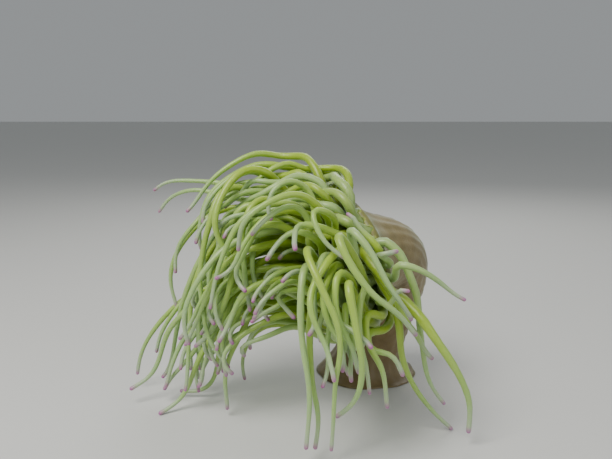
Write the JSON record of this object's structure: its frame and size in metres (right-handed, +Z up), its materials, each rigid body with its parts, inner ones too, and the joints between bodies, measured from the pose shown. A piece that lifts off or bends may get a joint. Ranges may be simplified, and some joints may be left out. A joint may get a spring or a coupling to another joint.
{
  "type": "snakelocks sea anemone",
  "caption": "Still sea anemone: a soft foot and bent column carry a disc of long streaming tentacles that hang over to the ground.",
  "frame": {"origin": "middle of the foot's flat sole, on the ground", "axes": "+Z up out of the sole, the crown leans and faces towards -X and -Y"},
  "size_m": [0.172, 0.1644, 0.1341],
  "materials": {
    "column_flesh": "moist soft skin, brownish olive, satin",
    "disc_flesh": "moist soft skin, olive, satin",
    "tentacle_flesh": "moist soft skin, olive at the root through pale green to a pink tip, satin"
  },
  "bodies": {
    "root": {"pedal_disc": "column_flesh", "column_lower": "column_flesh", "column_upper": "column_flesh", "collar": "column_flesh", "oral_disc": "disc_flesh", "mouth": "disc_flesh", "bundle_back_fall": "tentacle_flesh", "bundle_front_fall": "tentacle_flesh", "bundle_front_hook": "tentacle_flesh", "bundle_inner_arc": "tentacle_flesh", "bundle_left_curtain": "tentacle_flesh", "bundle_left_fall": "tentacle_flesh", "bundle_left_shelf": "tentacle_flesh", "bundle_low_arc": "tentacle_flesh", "bundle_low_left": "tentacle_flesh", "bundle_mid_arc": "tentacle_flesh", "bundle_mid_left": "tentacle_flesh", "bundle_over_top": "tentacle_flesh", "bundle_right_low": "tentacle_flesh", "bundle_top_sweep": "tentacle_flesh", "bundle_upper_sweep": "tentacle_flesh", "crest_middle": "tentacle_flesh", "crest_root": "tentacle_flesh", "crest_tip": "tentacle_flesh", "crossing_middle": "tentacle_flesh", "crossing_root": "tentacle_flesh", "crossing_tip": "tentacle_flesh", "curtain_left_middle": "tentacle_flesh", "curtain_left_root": "tentacle_flesh", "curtain_left_tip": "tentacle_flesh", "far_left_middle": "tentacle_flesh", "far_left_root": "tentacle_flesh", "far_left_tip": "tentacle_flesh", "far_low_middle": "tentacle_flesh", "far_low_root": "tentacle_flesh", "far_low_tip": "tentacle_flesh", "front_left_middle": "tentacle_flesh", "front_left_root": "tentacle_flesh", "front_left_tip": "tentacle_flesh", "front_mid_middle": "tentacle_flesh", "front_mid_root": "tentacle_flesh", "front_mid_tip": "tentacle_flesh", "front_twin_middle": "tentacle_flesh", "front_twin_root": "tentacle_flesh", "front_twin_tip": "tentacle_flesh", "left_outer_middle": "tentacle_flesh", "left_outer_root": "tentacle_flesh", "left_outer_tip": "tentacle_flesh", "right_long_middle": "tentacle_flesh", "right_long_root": "tentacle_flesh", "right_long_tip": "tentacle_flesh", "right_near_middle": "tentacle_flesh", "right_near_root": "tentacle_flesh", "right_near_tip": "tentacle_flesh", "right_reach_middle": "tentacle_flesh", "right_reach_root": "tentacle_flesh", "right_reach_tip": "tentacle_flesh"}
  },
  "joints": []
}
